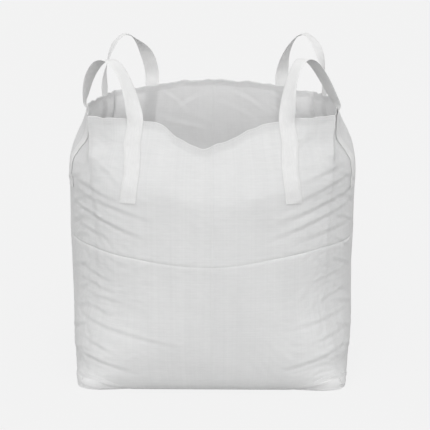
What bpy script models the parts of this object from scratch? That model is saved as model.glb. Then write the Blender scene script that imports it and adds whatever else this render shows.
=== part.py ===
"""Bulk bag: a four-panel woven bag with an open mouth, standing full on its base, and four cross-corner lift loops.

Metres, +Z up, +Y to the back. The origin is the middle of the base, on the ground.
"""

import math

import bmesh
import bpy
from mathutils import Vector

# Fabric and webbing
FABRIC_T = 0.002
WEBBING_T = 0.0025
WEBBING_W = 0.060
THREAD_R = 0.0008
SEAM_GAP = 0.0003

# Body: height, half-width at the middle of a side, and squareness (a superellipse's exponent) of each level
BODY_LEVELS = (
    (0.000, 0.506, 18.0),
    (0.020, 0.532, 12.0),
    (0.060, 0.555, 7.0),
    (0.140, 0.574, 4.4),
    (0.300, 0.583, 3.0),
    (0.520, 0.583, 2.6),
    (0.720, 0.585, 2.7),
    (0.800, 0.581, 3.0),
    (0.880, 0.561, 4.0),
    (0.960, 0.531, 6.5),
    (1.040, 0.486, 12.0),
    (1.100, 0.466, 14.0),
)
# Height of the rim along each side: distance from the side's middle towards its right-hand end, and height
RIMS = {
    "front": ((-0.45, 1.052), (-0.25, 1.029), (-0.16, 1.004), (-0.09, 0.960), (-0.02, 0.930), (0.08, 0.966),
              (0.19, 1.012), (0.28, 1.031), (0.45, 1.052)),
    "right": ((-0.45, 1.052), (-0.28, 1.062), (0.0, 1.045), (0.28, 1.056), (0.45, 1.042)),
    "back": ((-0.45, 1.042), (-0.28, 1.060), (-0.12, 1.084), (0.0, 1.088), (0.12, 1.084), (0.28, 1.060),
             (0.45, 1.042)),
    "left": ((-0.45, 1.042), (-0.28, 1.056), (0.0, 1.045), (0.28, 1.062), (0.45, 1.052)),
}
SIDE_TURN = {"front": 0.0, "right": 90.0, "back": 180.0, "left": 270.0}
PANEL_END = 0.993
PANEL_ACROSS = 22
# The panel's rows, as shares of the height up to the hem; one more row ends at the rim
PANEL_ROWS = (0.0, 0.02, 0.05, 0.09, 0.15, 0.24, 0.34, 0.44, 0.54, 0.63, 0.71, 0.78, 0.84, 0.89, 0.94, 0.975, 1.0)

HEM_H = 0.025
HEM_T = 0.0012
STITCH_BELOW_RIM = 0.018
SEAM_IN = 0.0055
SEAM_DEEP = 0.020
SEAM_T = 0.003
BASE_SEAM_W = 0.025

# Loops: each has one leg sewn on each of the two panels beside its corner
LEG_TOP = 0.279
LEG_FOOT = 0.305
LEG_LONG = 0.300
LEG_GAP = 0.003
LOOP_ROOT = 0.045
ROOT_GAP = 0.004
LOOP_POWER = 1.3
LOOP_STEPS = 28
CORNERS = {
    "front_left": {"x": -1, "y": -1, "rise": 0.215, "lean": (-0.014, 0.0)},
    "front_right": {"x": 1, "y": -1, "rise": 0.217, "lean": (-0.014, 0.0)},
    "back_left": {"x": -1, "y": 1, "rise": 0.246, "lean": (0.0, 0.0)},
    "back_right": {"x": 1, "y": 1, "rise": 0.246, "lean": (0.0, 0.0)},
}

COLOURS = {
    "fabric": (0.80, 0.80, 0.80, 1.0),
    "webbing": (0.86, 0.86, 0.86, 1.0),
    "thread": (0.90, 0.90, 0.90, 1.0),
}


def clear_scene():
    for obj in list(bpy.data.objects):
        bpy.data.objects.remove(obj, do_unlink=True)


def make_collection():
    collection = bpy.data.collections.new("bulk_bag")
    bpy.context.scene.collection.children.link(collection)
    return collection


def make_material(name):
    material = bpy.data.materials.new(name)
    material.use_nodes = True
    shader = material.node_tree.nodes["Principled BSDF"]
    shader.inputs["Base Color"].default_value = COLOURS[name]
    shader.inputs["Roughness"].default_value = 0.8
    shader.inputs["Metallic"].default_value = 0.0
    return material


def smooth_between(points, at):
    """Reads a smooth curve through points (place, value, ...) at a place: cubic pieces with level ends."""
    if at <= points[0][0]:
        return points[0][1:]
    if at >= points[-1][0]:
        return points[-1][1:]
    i = max(k for k in range(len(points) - 1) if points[k][0] <= at)

    def slope(k, value):
        low, high = points[max(k - 1, 0)], points[min(k + 1, len(points) - 1)]
        return (high[value] - low[value]) / (high[0] - low[0])

    span = points[i + 1][0] - points[i][0]
    t = (at - points[i][0]) / span
    found = []
    for value in range(1, len(points[0])):
        start, end = points[i][value], points[i + 1][value]
        found.append(
            start * (2 * t**3 - 3 * t**2 + 1)
            + slope(i, value) * span * (t**3 - 2 * t**2 + t)
            + end * (3 * t**2 - 2 * t**3)
            + slope(i + 1, value) * span * (t**3 - t**2)
        )
    return tuple(found)


def rim_height(side, along):
    return smooth_between(RIMS[side], along)[0]


def turned(side, along, out, height):
    """A point of a side, given along it to the right as seen from outside, outwards from the axis, and up."""
    angle = math.radians(SIDE_TURN[side])
    x = along * math.cos(angle) + out * math.sin(angle)
    y = along * math.sin(angle) - out * math.cos(angle)
    return Vector((x, y, height))


def wall_along(side, along, height, offset=0.0):
    """The wall's outer face at a distance along its side, moved outwards by offset."""

    def face(along_at, height_at):
        half, square = smooth_between(BODY_LEVELS, height_at)
        out = half * max(1 - abs(along_at / half) ** square, 0.0) ** (1 / square)
        return turned(side, along_at, out, height_at)

    step = 0.001
    right = face(along + step, height) - face(along - step, height)
    up = face(along, height + step) - face(along, height - step)
    return face(along, height) + right.cross(up).normalized() * offset


def wall_share(side, share, height, offset=0.0):
    """The wall's outer face at a share of the way from the middle of its side, 0, to a corner, -1 or 1."""
    half, square = smooth_between(BODY_LEVELS, height)
    shrink = (1 + abs(share) ** square) ** (-1 / square)
    if offset:
        return wall_along(side, half * share * shrink, height, offset)
    return turned(side, half * share * shrink, half * shrink, height)


def rim_at_share(side, share):
    """The rim's height where a share of the way to a corner meets it."""
    half, square = BODY_LEVELS[-2][1:]
    return rim_height(side, half * share * (1 + abs(share) ** square) ** (-1 / square))


def panel_share(column):
    return between(-PANEL_END, PANEL_END, column / PANEL_ACROSS)


def new_mesh_object(name, mesh, material):
    obj = bpy.data.objects.new(name, mesh)
    mesh.materials.append(material)
    PARTS.objects.link(obj)
    return obj


def thickness(obj, amount, offset):
    solidify = obj.modifiers.new("thickness", "SOLIDIFY")
    solidify.thickness = amount
    solidify.offset = offset
    solidify.use_even_offset = True


def sheet(name, material, across, along, place):
    """A grid of across by along faces, shaped by place(s, t), with s and t from 0 to 1. It faces s cross t."""
    mesh = bpy.data.meshes.new(name)
    grid = bmesh.new()
    bmesh.ops.create_grid(grid, x_segments=across, y_segments=along, size=0.5)
    for vertex in grid.verts:
        vertex.co = place(vertex.co.x + 0.5, vertex.co.y + 0.5)
    grid.to_mesh(mesh)
    grid.free()
    mesh.shade_smooth()
    return new_mesh_object(name, mesh, material)


def thread(name, material, points):
    """A sewn line: a thin tube through the points."""
    curve = bpy.data.curves.new(name, "CURVE")
    curve.dimensions = "3D"
    spline = curve.splines.new("POLY")
    spline.points.add(len(points) - 1)
    for spot, point in zip(spline.points, points):
        spot.co = (*point, 1.0)
    curve.bevel_depth = THREAD_R
    curve.bevel_resolution = 0
    curve.use_fill_caps = True
    curve.materials.append(material)
    PARTS.objects.link(bpy.data.objects.new(name, curve))


def between(low, high, share):
    return low + (high - low) * share


def make_panel(side):
    def place(s, t):
        share = panel_share(s * PANEL_ACROSS)
        top = rim_at_share(side, share)
        row = round(t * len(PANEL_ROWS))
        height = top if row == len(PANEL_ROWS) else (top - HEM_H) * PANEL_ROWS[row]
        return wall_share(side, share, height)

    panel = sheet(f"{side}_panel", FABRIC, PANEL_ACROSS, len(PANEL_ROWS), place)
    thickness(panel, FABRIC_T, -1)


def make_rim_hem(side):
    """The turned-over top edge of a panel, lying against its inner face."""
    columns = PANEL_ACROSS - 2

    def place(s, t):
        share = panel_share(s * columns + 1)
        height = rim_at_share(side, share) - HEM_H + (HEM_H - FABRIC_T) * t
        return wall_share(side, share, height, -FABRIC_T - 3 * SEAM_GAP)

    hem = sheet(f"{side}_rim_hem", FABRIC, columns, 1, place)
    thickness(hem, HEM_T, -1)


def make_hem_stitch(side):
    points = []
    for column in range(1, PANEL_ACROSS):
        share = panel_share(column)
        height = rim_at_share(side, share) - STITCH_BELOW_RIM
        points.append(wall_share(side, share, height, THREAD_R + 2 * SEAM_GAP))
    thread(f"{side}_rim_stitch", THREAD, points)


def make_corner_seam(corner):
    """The two panels' edges, sewn together and left inside the corner as an upright flange."""
    signs = Vector((CORNERS[corner]["x"], CORNERS[corner]["y"], 0.0))
    low, high = 0.030, 1.030

    def place(s, t):
        height = between(low, high, t)
        half, square = smooth_between(BODY_LEVELS, height)
        reach = half * 2 ** (-1 / square)
        inward = SEAM_IN + SEAM_DEEP * s
        return signs * (reach - inward * math.sqrt(0.5)) + Vector((0.0, 0.0, height))

    seam = sheet(f"{corner}_corner_seam", FABRIC, 1, 18, place)
    thickness(seam, SEAM_T, 0)


def base_outline(inset):
    """The base's outline, counter-clockwise, moved in by inset."""
    half, square = BODY_LEVELS[0][1] - inset, BODY_LEVELS[0][2]
    count = 72
    outline = []
    for i in range(count):
        angle = 2 * math.pi * i / count
        c, s = math.cos(angle), math.sin(angle)
        reach = half * (abs(c) ** square + abs(s) ** square) ** (-1 / square)
        outline.append((c * reach, s * reach))
    return outline


def make_base_panel():
    curve = bpy.data.curves.new("base_panel", "CURVE")
    curve.dimensions = "2D"
    curve.fill_mode = "BOTH"
    curve.extrude = FABRIC_T / 2
    spline = curve.splines.new("POLY")
    outline = base_outline(FABRIC_T + 4 * SEAM_GAP)
    spline.points.add(len(outline) - 1)
    for spot, (x, y) in zip(spline.points, outline):
        spot.co = (x, y, 0.0, 1.0)
    spline.use_cyclic_u = True
    curve.materials.append(FABRIC)
    obj = bpy.data.objects.new("base_panel", curve)
    obj.location.z = FABRIC_T / 2
    PARTS.objects.link(obj)


def make_base_seam(side):
    """The sewn edges of a wall and the base, lying flat inside along the foot of the wall."""

    def place(s, t):
        share = between(-0.93, 0.93, s)
        half, square = BODY_LEVELS[0][1] - 0.006 - BASE_SEAM_W * (1 - t), BODY_LEVELS[0][2]
        shrink = (1 + abs(share) ** square) ** (-1 / square)
        middle = FABRIC_T + 2 * SEAM_GAP + SEAM_T / 2
        return turned(side, half * share * shrink, half * shrink, middle)

    seam = sheet(f"{side}_base_seam", FABRIC, 16, 1, place)
    thickness(seam, SEAM_T, 0)


def leg_of(corner, side):
    """+1 or -1: which way along its side a corner's leg lies."""
    signs = CORNERS[corner]
    return {"front": signs["x"], "back": -signs["x"], "right": signs["y"], "left": -signs["y"]}[side]


def leg_point(corner, side, down, across, offset):
    """A point of a sewn leg: down from the rim, across from the leg's middle, and out from the wall."""
    way = leg_of(corner, side)
    middle = way * between(LEG_TOP, LEG_FOOT, down / LEG_LONG)
    top = rim_height(side, way * LEG_TOP)
    return wall_along(side, middle + across, top - down, offset)


def make_leg(corner, side):
    middle = LEG_GAP + WEBBING_T / 2

    def place(s, t):
        return leg_point(corner, side, LEG_LONG * (1 - t), WEBBING_W * (s - 0.5), middle)

    leg = sheet(f"{corner}_loop_{side}_leg", WEBBING, 3, 12, place)
    thickness(leg, WEBBING_T, 0)


def make_leg_stitch(corner, side):
    """One thread, sewn to and fro across the leg from its foot up to the rim."""
    rows = 10
    edge = 0.006
    out = LEG_GAP + WEBBING_T + THREAD_R + 4 * SEAM_GAP
    points = []
    for row in range(rows):
        down = between(LEG_LONG - 0.010, 0.030, row / (rows - 1))
        reach = WEBBING_W / 2 - edge
        ends = (-reach, 0.0, reach) if row % 2 == 0 else (reach, 0.0, -reach)
        points += [leg_point(corner, side, down, across, out) for across in ends]
    thread(f"{corner}_loop_{side}_stitch", THREAD, points)


def loop_middle(corner, angle):
    """The loop's middle line. The angle runs from one leg's top, 0, to the other's, pi."""
    shape = CORNERS[corner]
    ends = [leg_point(corner, side, 0.0, 0.0, LEG_GAP + WEBBING_T / 2) for side in loop_sides(corner)]
    lift = max(math.sin(angle), 0.0) ** LOOP_POWER
    off_centre = Vector((*shape["lean"], shape["rise"])) * lift
    return ends[0].lerp(ends[1], (1 - math.cos(angle)) / 2) + off_centre


def loop_frame(corner, angle):
    """The loop's middle line at an angle, and the direction of its width there: a quarter turn in all."""
    shape = CORNERS[corner]
    middle = loop_middle(corner, angle)
    onward = (loop_middle(corner, angle + 0.01) - loop_middle(corner, angle - 0.01)).normalized()
    t = 2 * angle / math.pi - 1
    turn = math.radians(45) * (1 + math.copysign(abs(t) ** 3, t))
    width = Vector((shape["x"] * math.cos(turn), shape["y"] * math.sin(turn), 0.0))
    return middle, (width - onward * width.dot(onward)).normalized()


def loop_sides(corner):
    """The two sides that a corner's loop is sewn to."""
    signs = CORNERS[corner]
    return ("front" if signs["y"] < 0 else "back", "left" if signs["x"] < 0 else "right")


def ribbon(name, corner, start, end, steps):
    """Webbing along the loop's middle line, from one angle to another."""

    def place(s, t):
        middle, width = loop_frame(corner, between(start, end, t))
        return middle + width * (WEBBING_W * (s - 0.5))

    piece = sheet(name, WEBBING, 2, steps, place)
    thickness(piece, WEBBING_T, 0)


def make_loop(corner):
    """The free part of a loop: a stiff arch, and a short root at each leg that bends when the arch folds over."""
    rise = CORNERS[corner]["rise"]
    gap = math.asin((ROOT_GAP / rise) ** (1 / LOOP_POWER))
    root = math.asin((LOOP_ROOT / rise) ** (1 / LOOP_POWER))
    first, second = loop_sides(corner)
    ribbon(f"{corner}_loop_{first}_root", corner, gap, root - 0.005, 3)
    ribbon(f"{corner}_loop_arch", corner, root, math.pi - root, LOOP_STEPS)
    ribbon(f"{corner}_loop_{second}_root", corner, math.pi - root + 0.005, math.pi - gap, 3)


clear_scene()
PARTS = make_collection()
FABRIC = make_material("fabric")
WEBBING = make_material("webbing")
THREAD = make_material("thread")

make_base_panel()
for side_name in SIDE_TURN:
    make_panel(side_name)
    make_rim_hem(side_name)
    make_hem_stitch(side_name)
    make_base_seam(side_name)
for corner_name in CORNERS:
    make_corner_seam(corner_name)
    make_loop(corner_name)
    for leg_side in loop_sides(corner_name):
        make_leg(corner_name, leg_side)
        make_leg_stitch(corner_name, leg_side)
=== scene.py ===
"""Looks of the bulk bag: woven cloth, webbing and thread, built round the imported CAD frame.

Metres, in the CAD's frame: +Z up, +Y to the back, the origin in the middle of the base on the ground.
A place on the wall is given by w and z. w runs round the bag: 0 is the middle of the front, 1 its right-hand
corner, 2 the middle of the right side, and so on to 8. z is the height. On one side, share runs from -1 at
its left-hand corner to 1 at its right-hand one, and along is the same in metres.
"""

import math
import random

import bmesh
import bpy
import numpy as np
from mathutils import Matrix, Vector, noise


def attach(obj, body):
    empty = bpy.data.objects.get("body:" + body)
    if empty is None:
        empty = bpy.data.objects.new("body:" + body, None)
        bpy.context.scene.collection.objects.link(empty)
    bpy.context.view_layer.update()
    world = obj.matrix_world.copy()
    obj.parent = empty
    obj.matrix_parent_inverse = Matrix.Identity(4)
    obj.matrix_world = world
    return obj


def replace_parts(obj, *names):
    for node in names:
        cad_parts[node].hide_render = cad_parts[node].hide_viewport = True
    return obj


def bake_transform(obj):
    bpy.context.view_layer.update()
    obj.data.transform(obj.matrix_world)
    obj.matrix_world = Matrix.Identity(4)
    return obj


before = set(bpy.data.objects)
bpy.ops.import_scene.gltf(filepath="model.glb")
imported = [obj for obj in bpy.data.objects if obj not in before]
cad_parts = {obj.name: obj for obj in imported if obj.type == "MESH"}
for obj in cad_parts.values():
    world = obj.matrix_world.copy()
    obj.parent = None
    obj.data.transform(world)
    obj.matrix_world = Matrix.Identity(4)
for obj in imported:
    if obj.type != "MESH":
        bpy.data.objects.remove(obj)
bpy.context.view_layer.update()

SIDES = ("front", "right", "back", "left")
CORNERS = {
    "front_left": (-1, -1),
    "front_right": (1, -1),
    "back_right": (1, 1),
    "back_left": (-1, 1),
}

# Cloth, webbing and thread
CLOTH_T = 0.0009
HEM_T = 0.0007
SEAM_T = 0.0022
FOOT_SEAM_T = 0.0018
WEBBING_T = 0.0020
WEBBING_W = 0.060
STITCH_PITCH = 0.0075
SEAM_PITCH = 0.0085
LEG_PITCH = 0.0065
STITCH_HALF = 0.0029
THREAD_R = 0.00055

# Faces across and up a panel, and across the base
PANEL_COLUMNS = 140
PANEL_ROWS = 176
BASE_GRID = 100

# Height, half-width at the middle of a side, squareness (a superellipse's exponent), half-width at the
# corner of the drawn-in mouth, and how far the plan has gone over to that mouth's shape
BODY_LEVELS = (
    (0.000, 0.512, 30.0, 0.500, 0.0),
    (0.020, 0.526, 13.0, 0.496, 0.0),
    (0.060, 0.541, 6.5, 0.490, 0.0),
    (0.140, 0.557, 4.4, 0.480, 0.0),
    (0.300, 0.569, 2.9, 0.453, 0.0),
    (0.520, 0.574, 2.6, 0.440, 0.0),
    (0.720, 0.575, 2.8, 0.446, 0.0),
    (0.800, 0.575, 3.0, 0.450, 0.0),
    (0.860, 0.570, 3.1, 0.452, 0.05),
    (0.900, 0.562, 3.6, 0.454, 0.5),
    (0.940, 0.546, 5.0, 0.456, 0.95),
    (0.980, 0.526, 8.0, 0.458, 1.0),
    (1.040, 0.503, 12.0, 0.459, 0.8),
    (1.100, 0.488, 14.0, 0.459, 0.7),
)
# The mouth is drawn in a little towards the back
BACK_TAPER = 0.045
# Height of the rim along each side: distance from the side's middle towards its right-hand end, and height.
# The front's is level past the loops and dips between them, a little left of the middle.
RIMS = {
    "front": (
        (-0.45, 1.050),
        (-0.30, 1.040),
        (-0.20, 1.030),
        (-0.12, 0.980),
        (-0.06, 0.955),
        (-0.02, 0.945),
        (0.04, 0.965),
        (0.17, 1.015),
        (0.25, 1.035),
        (0.45, 1.055),
    ),
    "right": ((-0.45, 1.055), (0.0, 1.060), (0.25, 1.045), (0.45, 1.035)),
    "back": (
        (-0.45, 1.035),
        (-0.37, 1.045),
        (-0.28, 1.065),
        (0.0, 1.085),
        (0.20, 1.075),
        (0.32, 1.055),
        (0.45, 1.040),
    ),
    "left": ((-0.45, 1.040), (0.0, 1.045), (0.28, 1.060), (0.45, 1.050)),
}
RIM_LEVEL = 1.04
HEM_H = 0.024
# The base seam lifts off the ground towards the corners
FOOT_LIFT = 0.050
# The outer part of the base cloth, from this share of its half-width, curls up to meet the base seam
BASE_CURL = 0.965
# How far in, as a share, the base lies from the panels along the middle of each side
BASE_TUCK = 0.012
# Where the middle crease of the front and back lies, as a share
CENTRE = 0.02

# Loops. A leg's distance from its side's middle at the rim, for the left-hand and the right-hand leg of each
# side, the same at its foot, and its length below the rim
LEG_TOP = {"front": (0.279, 0.279), "right": (0.279, 0.279), "back": (0.310, 0.290), "left": (0.279, 0.279)}
LEG_FOOT = 0.308
LEG_LONG = 0.302
LOOP_BULGE = 0.004
# Each loop's arch: how far its middle moves from the straight line between its two ends, at the top
# ("over") and with the opposite sign in its two halves ("sway"), how full the arch is, and the way the
# webbing faces, in degrees, at its start, quarter, half, three-quarters and end.
LOOPS = {
    "front_left": {
        "over": (-0.030, -0.005, 0.200),
        "sway": (0.015, -0.005, 0.070),
        "power": 1.5,
        "turns": (0, 50, 40, 65, 100),
    },
    "front_right": {
        "over": (-0.015, -0.015, 0.205),
        "sway": (0.000, -0.040, 0.075),
        "power": 1.5,
        "turns": (0, 50, 45, 50, 70),
    },
    "back_right": {
        "over": (-0.005, -0.015, 0.240),
        "sway": (-0.005, 0.035, -0.030),
        "power": 1.0,
        "turns": (0, 60, 85, 50, 120),
    },
    "back_left": {
        "over": (0.010, 0.015, 0.235),
        "sway": (0.005, 0.010, -0.060),
        "power": 1.0,
        "turns": (0, 10, 85, 70, 120),
    },
}
TURN_AT = (-1.0, -0.5, 0.0, 0.5, 1.0)


# Shape of the bag


def smooth_between(points, at):
    """Reads a smooth curve through points (place, value, ...) at an array of places."""
    table = np.array(points, float)
    place, values = table[:, 0], table[:, 1:]
    last = len(place) - 1
    low = np.maximum(np.arange(last + 1) - 1, 0)
    high = np.minimum(np.arange(last + 1) + 1, last)
    slope = (values[high] - values[low]) / (place[high] - place[low])[:, None]
    at = np.clip(np.asarray(at, float), place[0], place[-1])
    i = np.clip(np.searchsorted(place, at, side="right") - 1, 0, last - 1)
    span = (place[i + 1] - place[i])[..., None]
    t = (at - place[i])[..., None] / span
    return (
        values[i] * (2 * t**3 - 3 * t**2 + 1)
        + slope[i] * span * (t**3 - 2 * t**2 + t)
        + values[i + 1] * (3 * t**2 - 2 * t**3)
        + slope[i + 1] * span * (t**3 - t**2)
    )


def smoothstep(low, high, at):
    t = np.clip((np.asarray(at, float) - low) / (high - low), 0, 1)
    return t * t * (3 - 2 * t)


def out_of(share, z):
    """How far out from the middle the wall stands: a rounded square low down, drawn in at the mouth."""
    half, square, corner, drawn_in = np.moveaxis(smooth_between(BODY_LEVELS, z), -1, 0)
    at = np.minimum(np.abs(share), 1.0)
    rounded = half * (1 + at**square) ** (-1 / square)
    mouth = corner + (half - corner) * np.cos(at * math.pi / 2) ** 2
    return rounded + (mouth - rounded) * drawn_in


def along_of(share, z):
    return share * out_of(share, z)


def share_of(along, z):
    """Finds the share by repeated correction, which settles well within these rounds."""
    share = along / 0.5
    for _ in range(14):
        share = along / out_of(share, z)
    return share


def rim_height(side, along):
    return smooth_between(RIMS[side], along)[..., 0]


def rim_at(side, share):
    return rim_height(side, along_of(share, RIM_LEVEL))


def rim_wave(side, share):
    """The rim is never quite even: a few millimetres of wave in its height."""
    w = 2 * SIDES.index(side) + share
    wave = 0.0022 * np.sin(w * 19 + 1.3) + 0.0016 * np.sin(w * 31 + 0.4) + 0.0010 * np.sin(w * 53)
    return wave * (1 - smoothstep(0.85, 1.0, np.abs(share)))


def rim_top(side, share):
    return rim_at(side, share) + rim_wave(side, share)


def foot_at(share):
    return FOOT_LIFT * smoothstep(0.56, 0.9, np.abs(share))


def loft(side, share, z):
    """The wall with no folds in it."""
    out = out_of(share, z)
    along = share * out
    turn = SIDES.index(side) * math.pi / 2
    c, s = math.cos(turn), math.sin(turn)
    x, y = along * c + out * s, along * s - out * c
    taper = 1 - BACK_TAPER * smoothstep(-0.1, 0.5, y) * smoothstep(0.84, 1.02, z)
    return np.stack([x * taper, y, z + 0 * along], -1)


def outwards(side, share, z):
    """The wall's outward direction. At a corner seam it is the diagonal, for both of the seam's panels."""
    step = 0.002
    right = loft(side, np.minimum(share + step, 1.0), z) - loft(side, np.maximum(share - step, -1.0), z)
    up = loft(side, share, z + step) - loft(side, share, z - step)
    normal = np.cross(right, up)
    normal /= np.linalg.norm(normal, axis=-1, keepdims=True)
    turn = SIDES.index(side) * math.pi / 2
    c, s = math.cos(turn), math.sin(turn)
    way = np.sign(share) + 0 * np.asarray(z)
    diagonal = np.stack([way * c + s, way * s - c, 0 * way], -1) / math.sqrt(2)
    in_corner = smoothstep(0.92, 1.0, np.abs(share) + 0 * np.asarray(z))[..., None]
    normal = normal * (1 - in_corner) + diagonal * in_corner
    return normal / np.linalg.norm(normal, axis=-1, keepdims=True)


# Folds. Each row gives where a fold starts and ends round the bag (w), its height at the start, how far it
# drops on its way and how far it stands out. The first two groups fan in from the front's corners.

# Metres round the bag for each unit of w
ROUND = 0.49
LEFT_FOLDS = (
    (-0.90, -0.65, 0.88, 0.09, 0.005),
    (-1.25, -0.70, 0.80, 0.06, 0.006),
    (-1.20, -0.45, 0.75, 0.07, 0.006),
    (-1.35, -0.50, 0.70, 0.09, 0.009),
    (-1.30, -0.80, 0.62, 0.03, 0.004),
    (-1.30, -0.80, 0.46, 0.04, 0.004),
    (-1.30, -0.75, 0.41, 0.03, 0.004),
    (-1.15, -0.60, 0.36, 0.02, 0.004),
    (-1.20, -0.75, 0.32, 0.03, 0.004),
    (-1.20, -0.25, 0.27, 0.08, 0.006),
    (-1.10, -0.70, 0.19, 0.04, 0.005),
    (-1.05, -0.55, 0.13, 0.05, 0.005),
)
RIGHT_FOLDS = (
    (1.15, 0.65, 0.86, 0.05, 0.006),
    (1.40, 0.65, 0.82, 0.07, 0.008),
    (1.45, 0.50, 0.76, 0.09, 0.008),
    (1.45, 0.45, 0.71, 0.10, 0.007),
    (1.45, 0.65, 0.63, 0.04, 0.005),
    (1.50, 0.80, 0.45, 0.03, 0.004),
    (1.45, 0.85, 0.37, 0.03, 0.005),
    (1.40, 0.55, 0.29, 0.04, 0.005),
    (1.30, 0.75, 0.22, 0.03, 0.005),
    (1.20, 0.55, 0.16, 0.06, 0.006),
)
# The back panel's inner face, which shows through the mouth: w is 4 in its middle and grows to the left
BACK_FOLDS = (
    (4.50, 4.25, 1.04, 0.09, 0.003),
    (4.10, 4.40, 1.03, 0.10, 0.003),
    (3.80, 3.55, 1.03, 0.08, 0.003),
    (4.00, 3.60, 1.00, 0.10, 0.002),
    (4.55, 4.05, 0.93, 0.07, 0.003),
    (3.45, 3.20, 1.03, 0.11, 0.003),
)
FOLD_DEPTH = 0.7
# A fold's width in the upper and the lower half of the bag
UPPER_W = 0.017
LOWER_W = 0.0135
# Folds made at random on each side of a corner, and the step down from one to the next
MADE_COUNT = 9
MADE_STEP = 0.085
# Where the front's upper part starts to lean in: w and height. The back's is level.
UPPER_BREAK = ((-0.60, 0.78), (-0.25, 0.77), (0.05, 0.73), (0.25, 0.755), (0.60, 0.795))
BACK_BREAK = 0.76
BREAK_SOFT = (-0.04, -0.025, -0.01, 0.005, 0.02, 0.035)
# The crosswise crease, all round the bag: w and height
CREASE = ((-4.0, 0.55), (-1.2, 0.545), (-0.6, 0.525), (0.0, 0.498), (0.5, 0.53), (1.0, 0.55), (4.0, 0.55))
# The crumple's radius in its noise, and its heights: broad swells, and the tight crumple in a panel's middle
# and how much more there is at a corner
NOISE_RADIUS = 0.62
SWELL_H = 0.0055
TIGHT_H = 0.0010
CORNER_TIGHT_H = 0.0030


def placed_fold(start, end, z, drop, height):
    """The line of a fold, a little bowed, with its height and its width."""
    bend = (start + 0.55 * (end - start), z - 0.42 * drop)
    return ((start, z), bend, (end, z - drop)), height, UPPER_W if z > 0.5 else LOWER_W


def made_folds():
    """Folds for the sides and the back, which fan down from each corner."""
    rng = random.Random(11)
    found = []
    for corner in (3.0, 5.0):
        for way in (-1, 1):
            for k in range(MADE_COUNT):
                z = 0.86 - MADE_STEP * k + rng.uniform(-0.015, 0.015)
                reach = rng.uniform(0.35, 0.62)
                drop = rng.uniform(0.035, 0.085) * (1 if z > 0.4 else 0.7)
                line = [
                    (corner - way * 0.22, z + 0.01),
                    (corner + way * reach * 0.4, z - drop * 0.35),
                    (corner + way * reach, z - drop),
                ]
                found.append((tuple(line), rng.uniform(0.0035, 0.0085), rng.uniform(0.012, 0.019)))
    for corner, way in ((1.0, 1), (7.0, -1)):
        for k in range(MADE_COUNT):
            z = 0.83 - MADE_STEP * k + rng.uniform(-0.015, 0.015)
            reach = rng.uniform(0.40, 0.62)
            drop = rng.uniform(0.03, 0.07)
            line = [
                (corner + way * 0.12, z),
                (corner + way * reach * 0.6, z - drop * 0.4),
                (corner + way * reach, z - drop),
            ]
            found.append((tuple(line), rng.uniform(0.003, 0.0065), rng.uniform(0.012, 0.018)))
    return found


FOLDS = [placed_fold(*row) for row in LEFT_FOLDS + RIGHT_FOLDS + BACK_FOLDS] + made_folds()


def wrapped(w, centre):
    """w moved by whole turns of 8 to lie within 4 of centre."""
    return centre + (w - centre + 4) % 8 - 4


def soft_peak(distance, width, edge=0.0016):
    """1 at no distance, falling off on both sides, with its point rounded over about edge."""
    return np.exp(-(np.sqrt(distance**2 + edge**2) - edge) / width)


def fold_field(w, z, points, height, width):
    """A drag fold: a crest above its line and a hollow below it, both fading out at its ends."""
    line = np.array(points)
    centre = line[:, 0].mean()
    wx = wrapped(w, centre)
    x, y = (wx * ROUND).ravel(), z.ravel()
    dense = smooth_between([(i, *p) for i, p in enumerate(points)], np.linspace(0, len(points) - 1, 40))
    px, py = dense[:, 0] * ROUND, dense[:, 1]
    field = np.zeros_like(x)
    near = np.abs(x - px.mean()) < np.ptp(px) / 2 + 6 * width
    near &= np.abs(y - py.mean()) < np.ptp(py) / 2 + 6 * width
    if not near.any():
        return field.reshape(w.shape)
    dx, dy = x[near, None] - px, y[near, None] - py
    square = dx * dx + dy * dy
    i = square.argmin(1)
    rows = np.arange(len(i))
    tx, ty = np.gradient(px), np.gradient(py)
    length = np.hypot(tx, ty)
    tx, ty = tx / length, ty / length
    sign = 1 if px[-1] > px[0] else -1
    d = sign * (tx[i] * dy[rows, i] - ty[i] * dx[rows, i])
    past = np.maximum(np.sqrt(square[rows, i]) - np.abs(d), 0)
    t = i / (len(px) - 1)
    fade = np.sin(np.pi * np.clip(0.08 + 0.84 * t, 0, 1)) ** 0.8 * np.exp(-((past / width) ** 2))
    crest = soft_peak(d - 0.55 * width, 0.55 * width)
    hollow = soft_peak(d + 0.55 * width, 0.50 * width)
    field[near] = height * fade * (0.75 * crest - 0.85 * hollow)
    return field.reshape(w.shape)


def crumple(w, z):
    """Soft unevenness: broad swells and a tight shallow crumple, with more of it towards the corners."""
    around = w * math.pi / 4
    flat = np.stack([NOISE_RADIUS * np.cos(around), NOISE_RADIUS * np.sin(around), z], -1).reshape(-1, 3)
    broad = np.empty(len(flat))
    tight = np.empty(len(flat))
    for i, p in enumerate(flat):
        v = Vector(p)
        broad[i] = noise.noise(v * 4.2 + Vector((3.1, 0.4, 7.7)))
        stretched = Vector((v.x * 13, v.y * 13, v.z * 30 + 4 * broad[i]))
        tight[i] = abs(noise.noise(stretched)) - 0.5 * abs(noise.noise(stretched * 2.3))
    broad, tight = broad.reshape(w.shape), tight.reshape(w.shape)
    corner = smoothstep(0.25, 0.95, np.abs((w + 1) % 2 - 1))
    body = smoothstep(0.02, 0.12, z) * (1 - smoothstep(0.94, 1.0, z))
    swells = SWELL_H * broad * smoothstep(0.0, 0.15, z)
    return swells + (TIGHT_H + CORNER_TIGHT_H * corner) * tight * (0.3 + 0.7 * body)


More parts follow.
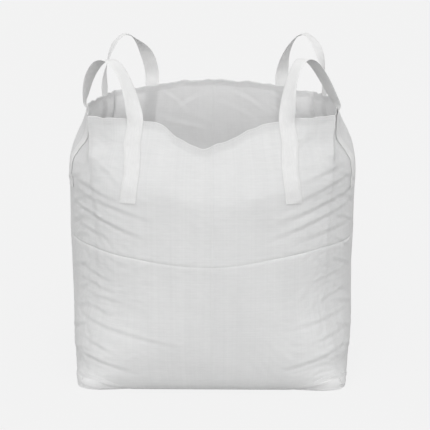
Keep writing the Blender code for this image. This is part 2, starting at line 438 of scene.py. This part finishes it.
def crosswise_crease(w, z):
    """The crease left from when the bag was folded: a narrow groove between soft swells."""
    around = wrapped(w, 0.0)
    d = np.abs(z - smooth_between(CREASE, around)[..., 0])
    strength = 0.50 + 0.50 * smoothstep(0.10, 0.55, np.abs(around))
    return strength * (0.0030 * np.exp(-d / 0.030) - 0.0044 * np.exp(-d / 0.0055))


def upright_crease(share, z):
    """The crease in the middle of the front and the back: a step and a narrow groove."""
    x = (share - CENTRE) * ROUND
    step = 0.0016 * np.exp(-np.abs(x) / 0.012) * np.tanh(-x / 0.002)
    return (step - 0.0018 * np.exp(-np.abs(x) / 0.004)) * smoothstep(0.05, 0.2, z)


def upper_lean(side, w, share, z):
    """The upper part of the front and the back leans straight in to the rim from a soft break."""
    low = smooth_between(UPPER_BREAK, w)[..., 0] if side == "front" else BACK_BREAK + 0 * w
    high = 1.05
    end = out_of(share, high + 0 * w)
    lean = 0.0 * w
    for soften in BREAK_SOFT:
        t = np.clip((z - low - soften) / (high - low - soften), 0, 1)
        start = out_of(share, low + soften)
        lean += np.where((t > 0) & (t < 1), start + (end - start) * t - out_of(share, z), 0.0)
    return lean / len(BREAK_SOFT) * (1 - smoothstep(0.66, 0.97, np.abs(share)))


def edge_relief(side, share, z):
    """The upright corner seams pull in, the hem is double and the panel rolls over the base seam."""
    in_seam = (1 - np.abs(share)) * ROUND
    pull = (0.0003 + 0.0009 * smoothstep(0.68, 0.82, z)) * np.exp(-((in_seam / 0.006) ** 2))
    below_rim = rim_top(side, share) - z
    hem = 0.0006 * smoothstep(0.004, 0.010, below_rim) * (1 - smoothstep(0.022, 0.028, below_rim))
    above_foot = z - foot_at(share)
    roll = 0.0030 * np.exp(-((above_foot / 0.007) ** 2)) * smoothstep(0.55, 0.80, np.abs(share))
    return hem + roll - pull


def folds(side, share, z):
    """How far the cloth stands out from the plain loft, in metres."""
    w = 2 * SIDES.index(side) + share
    total = np.zeros(np.broadcast(w, z).shape)
    w, z = w + total, z + total
    for points, height, width in FOLDS:
        total += FOLD_DEPTH * fold_field(w, z, points, height, width)
    total += crumple(w, z) + crosswise_crease(w, z) + edge_relief(side, share, z)
    if side in ("front", "back"):
        total += upright_crease(share, z) + upper_lean(side, w, share, z)
    if side == "front":
        total += 0.0009 * ridge_along(w, z, UPPER_BREAK, 0.020)
    return total


def ridge_along(w, z, points, width):
    """A ridge whose height is a function of w."""
    low, high = points[0][0], points[-1][0]
    d = z - smooth_between(points, w)[..., 0]
    ends = smoothstep(low, low + 0.15, w) * (1 - smoothstep(high - 0.15, high, w))
    return ends * np.exp(-np.abs(d) / width)


def surface(side, share, z, offset=0.0):
    """The folded cloth's outer face, moved outwards by offset."""
    share, z = np.broadcast_arrays(np.asarray(share, float), np.asarray(z, float))
    out = folds(side, share, z) + offset
    return loft(side, share, z) + outwards(side, share, z) * out[..., None]


# Meshes

# Faces that meet at a sharper angle than this keep a hard edge
SHARP = math.radians(50)


def mesh_object(name, points, faces, materials, uvs=None):
    mesh = bpy.data.meshes.new(name)
    mesh.from_pydata([tuple(p) for p in points], [], faces)
    for material in materials:
        mesh.materials.append(material)
    if uvs is not None:
        layer = mesh.uv_layers.new(name="cloth")
        loops = np.empty(len(mesh.loops), int)
        mesh.loops.foreach_get("vertex_index", loops)
        layer.data.foreach_set("uv", np.asarray(uvs, float)[loops].ravel())
    mesh.shade_smooth()
    obj = bpy.data.objects.new(name, mesh)
    bpy.context.scene.collection.objects.link(obj)
    return obj


def grid_object(name, points, uvs, materials):
    """points has the shape (rows, columns, 3). The faces look along columns cross rows."""
    rows, columns = points.shape[:2]
    index = np.arange(rows * columns).reshape(rows, columns)
    faces = np.stack([index[:-1, :-1], index[:-1, 1:], index[1:, 1:], index[1:, :-1]], -1)
    faces = faces.reshape(-1, 4).tolist()
    return mesh_object(name, points.reshape(-1, 3), faces, materials, uvs.reshape(-1, 2))


def thicken(obj, amount, offset, inner_slot=0):
    """Gives a cloth its thickness: inwards for an offset of -1, and both ways for 0."""
    solidify = obj.modifiers.new("thickness", "SOLIDIFY")
    solidify.thickness = amount
    solidify.offset = offset
    solidify.material_offset = inner_slot
    solidify.material_offset_rim = 0
    with bpy.context.temp_override(object=obj, active_object=obj, selected_objects=[obj]):
        bpy.ops.object.modifier_apply(modifier=solidify.name)
    obj.data.set_sharp_from_angle(angle=SHARP)


def put_value(obj, name, values):
    attribute = obj.data.attributes.new(name, "FLOAT", "POINT")
    attribute.data.foreach_set("value", np.asarray(values, np.float32).ravel())


def along_line(line, reach, at):
    return np.array([np.interp(at, reach, line[:, k]) for k in range(3)])


def stitches(name, lines, body, pitch=STITCH_PITCH):
    """Thread along lines of (points, normals): short stitches that dip into the cloth at both ends."""
    points, faces = [], []
    for line, normals in lines:
        line, normals = np.asarray(line, float), np.asarray(normals, float)
        reach = np.concatenate([[0], np.cumsum(np.linalg.norm(np.diff(line, axis=0), axis=1))])
        count = max(int(reach[-1] / pitch), 1)
        for at in (np.arange(count) + 0.5) * reach[-1] / count:
            start, end = along_line(line, reach, at - STITCH_HALF), along_line(line, reach, at + STITCH_HALF)
            centre = along_line(line, reach, at)
            normal = along_line(normals, reach, at) * THREAD_R
            forward = end - start
            if np.linalg.norm(forward) < 1e-6:
                continue
            side = np.cross(forward / np.linalg.norm(forward), normal)
            first = len(points)
            points += [start, centre + side, centre + normal, centre - side, centre - normal, end]
            for k in range(4):
                a, b = first + 1 + k, first + 1 + (k + 1) % 4
                faces += [(first, a, b), (first + 5, b, a)]
    obj = mesh_object(name, points, faces, [THREAD])
    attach(obj, body)
    return obj


# Materials

ROUGH_SPREAD = 0.08
# Pitches: two tapes of the cloth, and the webbing's zigzag, its slanting ribs and its cords
TAPE_PAIR = 0.0056
ZIGZAG = 0.0075
RIB = 0.0034
CORD = 0.0028
# The webbing's selvedges start this far from its middle
SELVEDGE = 0.0262
# Tone of the painted shade of a sewn leg, seen through the cloth on the inner face
STRAP_SHADE_TONE = 0.42


def add_node(tree, kind, inputs=None, **settings):
    node = tree.nodes.new(kind)
    for name, value in settings.items():
        setattr(node, name, value)
    for socket, value in (inputs or {}).items():
        if isinstance(value, bpy.types.NodeSocket):
            tree.links.new(value, node.inputs[socket])
        else:
            node.inputs[socket].default_value = value
    return node


def calc(tree, operation, a, b=0.0):
    return add_node(tree, "ShaderNodeMath", {0: a, 1: b}, operation=operation).outputs[0]


def weighted_sum(tree, parts):
    """The sum of (value, weight) pairs."""
    total = None
    for value, weight in parts:
        part = calc(tree, "MULTIPLY", value, weight)
        total = part if total is None else calc(tree, "ADD", total, part)
    return total


def waves(tree, place, pitch):
    return calc(tree, "SINE", calc(tree, "MULTIPLY", place, 2 * math.pi / pitch))


def streaks(tree, u, v, u_scale, v_scale, detail=3.0):
    """Noise on the cloth's own coordinates, stretched by its two scales."""
    scaled = {0: calc(tree, "MULTIPLY", u, u_scale), 1: calc(tree, "MULTIPLY", v, v_scale)}
    place = add_node(tree, "ShaderNodeCombineXYZ", scaled)
    inputs = {"Vector": place.outputs[0], "Scale": 1.0, "Detail": detail, "Roughness": 0.55}
    return add_node(tree, "ShaderNodeTexNoise", inputs).outputs["Fac"]


def tone_ramp(tree, factor, dark, light):
    """A colour between two tones."""
    inputs = {"Value": factor, "From Min": 0.30, "From Max": 0.70}
    level = add_node(tree, "ShaderNodeMapRange", inputs).outputs[0]
    ramp = add_node(tree, "ShaderNodeValToRGB", {"Fac": level})
    ramp.color_ramp.elements[0].color = (*dark, 1)
    ramp.color_ramp.elements[1].color = (*light, 1)
    return ramp.outputs["Color"]


def start_material(name):
    material = bpy.data.materials.new(name)
    material.use_nodes = True
    tree = material.node_tree
    uv = add_node(tree, "ShaderNodeUVMap", uv_map="cloth").outputs[0]
    split = add_node(tree, "ShaderNodeSeparateXYZ", {0: uv})
    return material, tree, tree.nodes["Principled BSDF"], split.outputs[0], split.outputs[1]


def finish_material(tree, shader, colour, height, distance, rough_from, rough):
    """Links the colour, a bump of this distance, and a roughness that varies a little with rough_from."""
    tree.links.new(colour, shader.inputs["Base Color"])
    bump = add_node(tree, "ShaderNodeBump", {"Strength": 0.55, "Distance": distance, "Height": height})
    tree.links.new(bump.outputs[0], shader.inputs["Normal"])
    levels = {"Value": rough_from, "To Min": rough - ROUGH_SPREAD, "To Max": rough + ROUGH_SPREAD}
    spread = add_node(tree, "ShaderNodeMapRange", levels)
    tree.links.new(spread.outputs[0], shader.inputs["Roughness"])


def set_translucent(shader, weight, depth, sheen, sheen_rough):
    """Thin plastic yarn lets some light in below its surface and has a faint sheen."""
    shader.inputs["Subsurface Weight"].default_value = weight
    shader.inputs["Subsurface Radius"].default_value = (1.0, 1.0, 1.0)
    shader.inputs["Subsurface Scale"].default_value = depth
    shader.inputs["Sheen Weight"].default_value = sheen
    shader.inputs["Sheen Roughness"].default_value = sheen_rough


def woven_cloth(name, dark, light, strap_shadow=0.0):
    """Plain-woven flat tapes, with streaks of heavier and lighter tape both ways."""
    material, tree, shader, u, v = start_material(name)
    over = calc(tree, "MULTIPLY", waves(tree, u, TAPE_PAIR), waves(tree, v, TAPE_PAIR))
    warp = streaks(tree, u, v, 150.0, 1.2)
    weft = streaks(tree, u, v, 1.5, 190.0)
    bands = streaks(tree, u, v, 26.0, 0.6, 2.0)
    slubs = streaks(tree, u, v, 34.0, 170.0, 2.0)
    mottle = streaks(tree, u, v, 9.0, 9.0, 5.0)
    parts = ((warp, 0.20), (weft, 0.20), (bands, 0.15), (slubs, 0.20), (mottle, 0.25), (over, 0.02))
    colour = tone_ramp(tree, weighted_sum(tree, parts), dark, light)
    # Painted shade: the inner face darkens where a leg is sewn on the other face, standing in for the leg's
    # shadow through the cloth
    if strap_shadow:
        strap = add_node(tree, "ShaderNodeAttribute", attribute_name="strap").outputs["Fac"]
        amount = calc(tree, "MULTIPLY", strap, strap_shadow)
        shaded = add_node(tree, "ShaderNodeMix", {"Factor": amount}, data_type="RGBA")
        tree.links.new(colour, shaded.inputs[6])
        shaded.inputs[7].default_value = (STRAP_SHADE_TONE, STRAP_SHADE_TONE, STRAP_SHADE_TONE, 1)
        colour = shaded.outputs[2]
    height = calc(tree, "ADD", over, calc(tree, "MULTIPLY", warp, 0.8))
    finish_material(tree, shader, colour, height, 0.00022, mottle, 0.56)
    set_translucent(shader, 0.5, 0.003, 0.08, 0.4)
    return material


def woven_webbing(name, dark, light):
    """Heavy webbing: a zigzag twill between two plain selvedges. u runs across it and v along it."""
    material, tree, shader, u, v = start_material(name)
    rib = waves(tree, calc(tree, "ADD", v, calc(tree, "PINGPONG", u, ZIGZAG)), RIB)
    cord = waves(tree, u, CORD)
    edge = calc(tree, "GREATER_THAN", calc(tree, "ABSOLUTE", u), SELVEDGE)
    grain = streaks(tree, u, v, 260.0, 30.0, 3.0)
    mottle = streaks(tree, u, v, 14.0, 14.0, 4.0)
    height = weighted_sum(tree, ((rib, 0.6), (cord, 0.5), (edge, 0.9)))
    mixed = calc(tree, "ADD", weighted_sum(tree, ((grain, 0.4), (mottle, 0.5), (rib, 0.03))), 0.05)
    colour = tone_ramp(tree, mixed, dark, light)
    finish_material(tree, shader, colour, height, 0.00006, grain, 0.62)
    set_translucent(shader, 0.45, 0.004, 0.05, 0.45)
    shader.inputs["Specular IOR Level"].default_value = 0.2
    return material


def sewing_thread(name):
    material = bpy.data.materials.new(name)
    material.use_nodes = True
    tree = material.node_tree
    shader = tree.nodes["Principled BSDF"]
    place = add_node(tree, "ShaderNodeTexCoord").outputs["Object"]
    inputs = {"Vector": place, "Scale": 900.0, "Detail": 2.0}
    fuzz = add_node(tree, "ShaderNodeTexNoise", inputs).outputs["Fac"]
    colour = tone_ramp(tree, fuzz, (0.70, 0.70, 0.69), (0.86, 0.86, 0.85))
    finish_material(tree, shader, colour, fuzz, 0.0002, fuzz, 0.60)
    return material


CLOTH = woven_cloth("woven_cloth", (0.630, 0.633, 0.633), (0.750, 0.752, 0.750))
# Painted light: the inner faces, hems, seam edges and the base's upper face take a lighter copy of the
# cloth. It stands in for the light that comes through the thin cloth.
LINING_PAINTED_LIGHT = woven_cloth("woven_cloth_inner_painted_light", (0.72, 0.72, 0.72), (0.81, 0.81, 0.81), strap_shadow=0.08)
BASE_CLOTH = woven_cloth("woven_cloth_base", (0.70, 0.70, 0.70), (0.81, 0.81, 0.81))
WEBBING = woven_webbing("loop_webbing", (0.73, 0.73, 0.73), (0.84, 0.84, 0.835))
THREAD = sewing_thread("sewing_thread")


# The bag


def rest_on_bag(obj, slot_name, *nodes):
    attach(obj, "bag")
    if nodes:
        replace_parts(obj, *nodes)
    return obj


def leg_shade_mask(side, share, z):
    """1 where a loop's leg is sewn on the other face, 0 elsewhere: the mask of the legs' painted shade on
    the inner face.
    """
    along = along_of(share, z)
    cover = np.zeros(along.shape)
    for way, top in zip((-1, 1), LEG_TOP[side]):
        down = rim_height(side, way * top) - z
        middle = way * (top + (LEG_FOOT - top) * np.clip(down / LEG_LONG, 0, 1))
        across = np.abs(along - middle)
        inside = 1 - smoothstep(WEBBING_W / 2 - 0.003, WEBBING_W / 2 + 0.003, across)
        above_end = 1 - smoothstep(LEG_LONG - 0.004, LEG_LONG + 0.004, down)
        cover = np.maximum(cover, inside * above_end)
    return cover


def make_panel(side):
    """Its columns are closest at the middle crease, and one of its rows follows the crosswise crease."""
    step = np.linspace(-1, 1, PANEL_COLUMNS + 1)
    share = (CENTRE * (1 - step**2) + step * (0.65 + 0.35 * step**2))[None, :]
    foot, top = foot_at(share), rim_top(side, share)
    crease = smooth_between(CREASE, wrapped(2 * SIDES.index(side) + share, 0.0))[..., 0]
    half = np.linspace(0, 1, PANEL_ROWS // 2 + 1)
    part = (0.5 * half + 0.5 * smoothstep(0, 1, half))[:, None]
    z = np.concatenate([foot + (crease - foot) * part[:-1], crease + (top - crease) * part])
    share = share + 0 * z
    points = surface(side, share, z)
    panel = grid_object(f"{side}_cloth", points, np.stack([share * ROUND, z], -1), [CLOTH, LINING_PAINTED_LIGHT])
    # The strap attribute masks the legs' painted shade on the inner face
    put_value(panel, "strap", leg_shade_mask(side, share, z))
    thicken(panel, CLOTH_T, -1, inner_slot=1)
    return rest_on_bag(panel, "fabric", f"{side}_panel")


def make_hem(side):
    """The panel's top edge, folded over inwards and lying against its inner face."""
    profile = (
        (-HEM_H, -0.0022),
        (-0.0170, -0.0020),
        (-0.0080, -0.0021),
        (-0.0010, -0.0023),
        (0.0010, -0.0014),
        (0.0014, -0.0003),
        (0.0006, 0.0006),
        (-0.0012, 0.0008),
    )
    share = np.linspace(-0.992, 0.992, PANEL_COLUMNS + 1)
    rows = []
    for dz, out in reversed(profile):
        rows.append(surface(side, share, rim_top(side, share) + dz, out))
    points = np.array(rows)
    v = np.array([dz for dz, out in reversed(profile)])[:, None] + 0 * share[None, :]
    uvs = np.stack([share[None, :] * ROUND + 0 * v, v], -1)
    # The hem takes the lighter inner cloth: painted light where its double layer would block the light
    # coming through
    hem = grid_object(f"{side}_hem", points[::-1], uvs[::-1], [LINING_PAINTED_LIGHT])
    thicken(hem, HEM_T, 0)
    return rest_on_bag(hem, "fabric", f"{side}_rim_hem")


def line_on_wall(side, share, z, offset=0.0004):
    """Points and normals for stitches on the outer face."""
    share, z = np.broadcast_arrays(share, z)
    return surface(side, share, z, offset), outwards(side, share, z)


def make_hem_stitch(side):
    share = np.linspace(-0.985, 0.985, 160)
    line = line_on_wall(side, share, rim_top(side, share) - 0.0095)
    stitch = stitches(f"{side}_hem_stitching", [line], "bag")
    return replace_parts(stitch, f"{side}_rim_stitch")


def make_corner_seam(corner):
    """The two panels' edges, sewn together inside the corner, and the line of thread along them."""
    side = SIDES[list(CORNERS).index(corner)]
    low, high = FOOT_LIFT + 0.012, float(rim_at(side, -1.0)) - 0.006
    z = np.linspace(low, high, 90)
    depths = (0.004, 0.009, 0.014, 0.019, 0.024)
    rows = [surface(side, -1.0 + depth / ROUND + 0 * z, z, -0.0038) for depth in depths]
    points = np.array(rows)
    uvs = np.stack(np.broadcast_arrays(np.linspace(0, 0.025, len(rows))[:, None], z[None, :]), -1)
    # The seam edges take the lighter inner cloth: painted light over the shade of the doubled cloth
    seam = grid_object(f"{corner}_seam", points, uvs, [LINING_PAINTED_LIGHT])
    thicken(seam, SEAM_T, 0)
    rest_on_bag(seam, "fabric", f"{corner}_corner_seam")
    place = -1.0 + 0.010 / ROUND + 0 * z
    line = (surface(side, place, z, -0.0048), -outwards(side, place, z))
    thread = stitches(f"{corner}_seam_stitching", [line], "bag", pitch=SEAM_PITCH)
    return [seam, thread]


def floor_point(side, share, m):
    """The base cloth: m is 1 on its edge and 0 in its middle. Past BASE_CURL it rises to meet the panels."""
    share, m = np.broadcast_arrays(np.asarray(share, float), np.asarray(m, float))
    foot = foot_at(share)
    rise = np.clip((m - BASE_CURL) / (1 - BASE_CURL), 0, 1)
    seam = surface(side, share, foot)
    tucked = 1 - BASE_TUCK * (1 - foot / FOOT_LIFT)
    ground = loft(side, share, 0.4 * foot) * tucked[..., None]
    points = (ground + (seam - ground) * rise[..., None]) * np.minimum(m / BASE_CURL, 1)[..., None]
    swell = 0.5 * (1 + np.sin(points[..., 0] * 9) * np.sin(points[..., 1] * 8 + 1))
    points[..., 2] = foot * rise**1.2 + 0.0016 * swell * (1 - smoothstep(0.70, 0.93, m))
    # The curled strip bulges and is rucked where it lifts, towards the corners
    curl = np.sin(math.pi * rise) * foot / FOOT_LIFT
    ruck = np.sin(3 * math.pi * rise + 9 * share) * curl
    outward = points[..., :2] / np.hypot(points[..., 0], points[..., 1]).clip(0.01)[..., None]
    points[..., :2] += outward * (0.0030 * ruck + 0.002 * curl)[..., None]
    return points


def make_base():
    """One cloth, gridded as a square whose rings follow the bag's outline."""
    step = np.linspace(-1, 1, BASE_GRID + 1)
    a, b = np.meshgrid(step, step)
    m = np.maximum(np.abs(a), np.abs(b))
    points = np.zeros((*m.shape, 3))
    share = np.where(m > 0, np.minimum(np.abs(a), np.abs(b)) / np.maximum(m, 1e-9), 0)
    # The outer fifth of the rings makes the strip that curls up
    flat = 0.8
    curled = BASE_CURL + (m - flat) * (1 - BASE_CURL) / (1 - flat)
    warped = np.where(m < flat, m * BASE_CURL / flat, curled)
    for side in SIDES:
        if side in ("front", "back"):
            sign = -1 if side == "front" else 1
            here = (np.abs(b) >= np.abs(a)) & (np.sign(b) == sign)
            signed = -sign * share * np.sign(a)
        else:
            sign = 1 if side == "right" else -1
            here = (np.abs(a) > np.abs(b)) & (np.sign(a) == sign)
            signed = sign * share * np.sign(b)
        points[here] = floor_point(side, signed[here], warped[here])
    # The rows run from the back to the front, so that the faces look down and the cloth's thickness goes up
    uvs = np.stack([a * ROUND, b * ROUND], -1)
    base = grid_object("base_cloth", points[::-1], uvs[::-1], [BASE_CLOTH, LINING_PAINTED_LIGHT])
    thicken(base, CLOTH_T, -1, inner_slot=1)
    return rest_on_bag(base, "fabric", "base_panel")


def make_base_seam(side):
    """The sewn edges of a panel and the base, inside the foot, and the thread that shows outside."""
    share = np.linspace(-0.985, 0.985, PANEL_COLUMNS + 1)
    rows = []
    for m, up in ((0.992, 0.0030), (0.984, 0.0042), (0.973, 0.0040), (0.962, 0.0036), (0.952, 0.0030)):
        point = floor_point(side, share, m)
        point[..., 2] += up + 0.0006 * np.sin(share * 44)
        rows.append(point)
    v = np.linspace(0, 0.025, len(rows))[:, None]
    uvs = np.stack(np.broadcast_arrays(share[None, :] * ROUND, v), -1)
    seam = grid_object(f"{side}_foot_seam", np.array(rows), uvs, [LINING_PAINTED_LIGHT])
    thicken(seam, FOOT_SEAM_T, 0)
    rest_on_bag(seam, "fabric", f"{side}_base_seam")
    line = line_on_wall(side, share, foot_at(share) + 0.009)
    return [seam, stitches(f"{side}_foot_stitching", [line], "bag", pitch=SEAM_PITCH)]


# The lift loops


def loop_sides(corner):
    x, y = CORNERS[corner]
    return ("front" if y < 0 else "back", "left" if x < 0 else "right")


def leg_way(corner, side):
    """+1 or -1: which way along its side a corner's leg lies."""
    x, y = CORNERS[corner]
    return {"front": x, "back": -x, "right": y, "left": -y}[side]


def leg_place(corner, side, down, across):
    """share and z on a sewn leg: down from the rim, and across from its middle towards the corner."""
    way = leg_way(corner, side)
    down, across = np.broadcast_arrays(np.asarray(down, float), np.asarray(across, float))
    top = LEG_TOP[side][0 if way < 0 else 1]
    z = rim_height(side, way * top) - down
    along = way * (top + (LEG_FOOT - top) * down / LEG_LONG + across)
    return share_of(along, z), z


def leg_surface(corner, side, down, across):
    """The middle of the webbing's thickness, on the folded cloth. Its foot is turned under."""
    share, z = leg_place(corner, side, down, across)
    turned_under = 0.0016 * smoothstep(LEG_LONG - 0.016, LEG_LONG - 0.010, down)
    out = 0.0017 + WEBBING_T / 2 + turned_under + 0 * share
    return loft(side, share, z) + outwards(side, share, z) * (folds(side, share, z) + out)[..., None]


def loop_middle(corner, angle):
    """The arch's middle line, at angles from 0 at its first end to pi at its second."""
    shape = LOOPS[corner]
    sides = loop_sides(corner)
    ends = [leg_surface(corner, side, 0.0, 0.0) for side in sides]
    angle = np.asarray(angle, float)
    lift = np.maximum(np.sin(angle), 0)[..., None] ** shape["power"]
    cosine = np.cos(angle)[..., None]
    middle = ends[0] + (ends[1] - ends[0]) * (1 - cosine) / 2
    middle = middle + lift * (np.array(shape["over"]) + cosine * np.array(shape["sway"]))
    for side, from_end in zip(sides, (angle, math.pi - angle)):
        bulge = np.exp(-(((from_end - 0.30) / 0.2) ** 2)) - np.exp(-(((from_end + 0.30) / 0.2) ** 2))
        facing = outwards(side, *leg_place(corner, side, 0.0, 0.0)) * (1, 1, 0)
        middle = middle + LOOP_BULGE * bulge[..., None] * facing
    return middle


def unit(vectors):
    return vectors / np.linalg.norm(vectors, axis=-1, keepdims=True)


def arch_rows(corner, angles, across):
    """Rows of points across the arch, which turns as it goes over."""
    x, y = CORNERS[corner]
    middle = loop_middle(corner, angles)
    onward = unit(loop_middle(corner, angles + 0.01) - loop_middle(corner, angles - 0.01))
    t = 2 * angles / math.pi - 1
    turn = np.radians(smooth_between(list(zip(TURN_AT, LOOPS[corner]["turns"])), t)[..., 0])
    width = np.stack([x * np.cos(turn), y * np.sin(turn), 0 * turn], -1)
    width = unit(width - onward * (width * onward).sum(-1, keepdims=True))
    return middle[:, None, :] + width[:, None, :] * across[None, :, None]


def loop_rows(corner, across):
    """Rows of points across the whole webbing, foot to foot, eased where the legs meet the arch."""
    first, second = loop_sides(corner)
    down = np.linspace(LEG_LONG, 0.006, 40)
    angles = np.linspace(0, math.pi, 83)[1:-1]
    leg_a = leg_surface(corner, first, down[:, None], across[None, :])
    leg_b = leg_surface(corner, second, down[::-1, None], across[None, :])
    rows = np.concatenate([leg_a, arch_rows(corner, angles, across), leg_b])
    soft = np.zeros(len(rows))
    for bend in (len(down), len(down) + len(angles)):
        soft = np.maximum(soft, np.exp(-(((np.arange(len(rows)) - bend + 0.5) / 3.5) ** 2)))
    for _ in range(10):
        rows[1:-1] += 0.5 * soft[1:-1, None, None] * ((rows[:-2] + rows[2:]) / 2 - rows[1:-1])
    return rows


def strap_object(corner, rows, across):
    """A closed strip of webbing about these rows, thinner at its two edges."""
    onward, aside = np.gradient(rows, axis=0), np.gradient(rows, axis=1)
    normal = unit(np.cross(aside, onward))
    first = loop_sides(corner)[0]
    outward = outwards(first, *leg_place(corner, first, 0.1, 0.0))
    middle = len(across) // 2
    if (normal[20, middle] * outward).sum() < 0:
        normal = -normal
    half = np.array([0.35, 0.85, 1, 1, 1, 1, 1, 0.85, 0.35]) * WEBBING_T / 2
    top, bottom = rows + normal * half[:, None], rows - normal * half[:, None]
    ring = np.concatenate([top, bottom[:, ::-1]], axis=1)
    count, around = ring.shape[:2]
    index = np.arange(count * around).reshape(count, around)
    ahead = np.roll(index, -1, axis=1)
    faces = np.stack([index[:-1], ahead[:-1], ahead[1:], index[1:]], -1).reshape(-1, 4).tolist()
    faces += [index[0, ::-1].tolist(), index[-1].tolist()]
    run = np.concatenate([[0], np.cumsum(np.linalg.norm(np.diff(rows[:, middle], axis=0), axis=1))])
    u = np.concatenate([across, across[::-1]])
    uvs = np.stack(np.broadcast_arrays(u[None, :], run[:, None]), -1).reshape(-1, 2)
    strap = mesh_object(f"{corner}_loop_webbing", ring.reshape(-1, 3), faces, [WEBBING], uvs)
    turned = bmesh.new()
    turned.from_mesh(strap.data)
    bmesh.ops.recalc_face_normals(turned, faces=turned.faces)
    turned.to_mesh(strap.data)
    turned.free()
    strap.data.set_sharp_from_angle(angle=SHARP)
    return strap


def make_loop(corner):
    """One length of webbing: up from the foot of one leg, over the corner, and down the other leg."""
    across = np.array([-0.0300, -0.0292, -0.0200, -0.0100, 0.0, 0.0100, 0.0200, 0.0292, 0.0300])
    strap = strap_object(corner, loop_rows(corner, across), across)
    sides = loop_sides(corner)
    legs = [f"{corner}_loop_{side}_{what}" for side in sides for what in ("leg", "root")]
    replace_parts(strap, f"{corner}_loop_arch", *legs)
    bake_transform(strap)
    for side in sides:
        make_leg_stitch(corner, side)
    return strap


def leg_line(corner, side, down, across):
    """A line of (point, normal) on the face of a sewn leg."""
    share, z = leg_place(corner, side, down, across)
    normal = outwards(side, share, z)
    return leg_surface(corner, side, down, across) + normal * (WEBBING_T / 2 - 0.0001), normal


def make_leg_stitch(corner, side):
    """Four rows down the leg, two across its ends, and a cross in the box at its foot."""
    lines = []
    head, foot = 0.022, LEG_LONG - 0.007
    box, edge, inner = 0.052, 0.0245, 0.0085
    run = np.linspace(head, foot, 60)
    for across in (-edge, -inner, inner, edge):
        lines.append(leg_line(corner, side, run, across + 0 * run))
    over = np.linspace(-edge, edge, 12)
    for down in (head, foot - box, foot):
        lines.append(leg_line(corner, side, down + 0 * over, over))
    for way in (-1, 1):
        lines.append(leg_line(corner, side, np.linspace(foot - box, foot, 12), way * over))
    thread = stitches(f"{corner}_{side}_leg_stitching", lines, "bag", pitch=LEG_PITCH)
    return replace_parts(thread, f"{corner}_loop_{side}_stitch")


# Camera, floor and light

CAMERA_PLACE = (0.087, -5.271, 1.706)
CAMERA_DOWN = 0.211
CAMERA_LEFT = 0.015
LENS = 109.0
SENSOR = 36.0
FLOOR_HALF = 200.0
FLOOR_Z = -0.0012
# The floor's own tone, its glow towards the camera, and how much of a shadow shows through that glow
FLOOR_ALBEDO = 0.45
FLOOR_GLOW = 0.965
FLOOR_SHADE = 0.14
# The room's light on the bag, and its brightness as the camera sees it
WORLD_LIGHT = 0.74
BACKDROP_LIGHT = 0.89
SOFTBOX_POWER = 1.72
SOFTBOX_SPREAD = math.radians(80)
SOFTBOX_PLACE = (-0.06, -2.4, 1.1)


def look(obj, place, towards):
    obj.location = place
    obj.rotation_euler = (Vector(towards) - Vector(place)).to_track_quat("-Z", "Y").to_euler()


def make_camera():
    data = bpy.data.cameras.new("camera")
    data.lens = LENS
    data.sensor_width = SENSOR
    data.clip_end = 2 * FLOOR_HALF
    camera = bpy.data.objects.new("camera", data)
    camera.location = CAMERA_PLACE
    camera.rotation_euler = (math.pi / 2 - CAMERA_DOWN, 0.0, CAMERA_LEFT)
    bpy.context.scene.collection.objects.link(camera)
    bpy.context.scene.camera = camera


def make_floor():
    mesh = bpy.data.meshes.new("floor")
    ends = [(x * FLOOR_HALF, y * FLOOR_HALF, 0) for x, y in CORNERS.values()]
    mesh.from_pydata(ends, [], [(0, 1, 2, 3)])
    floor = bpy.data.objects.new("floor", mesh)
    floor.location.z = FLOOR_Z
    bpy.context.scene.collection.objects.link(floor)
    material = bpy.data.materials.new("floor")
    material.use_nodes = True
    tree = material.node_tree
    tree.nodes.remove(tree.nodes["Principled BSDF"])
    tone = (FLOOR_ALBEDO, FLOOR_ALBEDO, FLOOR_ALBEDO, 1)
    matte = add_node(tree, "ShaderNodeBsdfDiffuse", {"Color": tone})
    glow = add_node(tree, "ShaderNodeEmission", {"Color": (1, 1, 1, 1), "Strength": FLOOR_GLOW})
    seen = add_node(tree, "ShaderNodeLightPath").outputs["Is Camera Ray"]
    share = calc(tree, "MULTIPLY", seen, 1 - FLOOR_SHADE)
    both = add_node(tree, "ShaderNodeMixShader", {0: share, 1: matte.outputs[0], 2: glow.outputs[0]})
    tree.links.new(both.outputs[0], tree.nodes["Material Output"].inputs[0])
    mesh.materials.append(material)


def make_light():
    world = bpy.data.worlds.new("studio")
    bpy.context.scene.world = world
    world.use_nodes = True
    background = world.node_tree.nodes["Background"]
    background.inputs["Color"].default_value = (1.0, 1.0, 1.0, 1)
    seen = add_node(world.node_tree, "ShaderNodeLightPath").outputs["Is Camera Ray"]
    extra = calc(world.node_tree, "MULTIPLY", seen, BACKDROP_LIGHT - WORLD_LIGHT)
    strength = calc(world.node_tree, "ADD", extra, WORLD_LIGHT)
    world.node_tree.links.new(strength, background.inputs["Strength"])
    data = bpy.data.lights.new("front_softbox", "SUN")
    data.energy = SOFTBOX_POWER
    data.angle = SOFTBOX_SPREAD
    softbox = bpy.data.objects.new("front_softbox", data)
    look(softbox, SOFTBOX_PLACE, (0, 0, 0))
    bpy.context.scene.collection.objects.link(softbox)


for side_name in SIDES:
    panel = make_panel(side_name)
    parts = [make_hem(side_name), make_hem_stitch(side_name), *make_base_seam(side_name)]
make_base()
for corner_name in CORNERS:
    make_corner_seam(corner_name)
    make_loop(corner_name)

make_floor()
make_light()
make_camera()
bpy.context.scene.view_settings.view_transform = "Standard"
bpy.context.scene.cycles.diffuse_bounces = 10
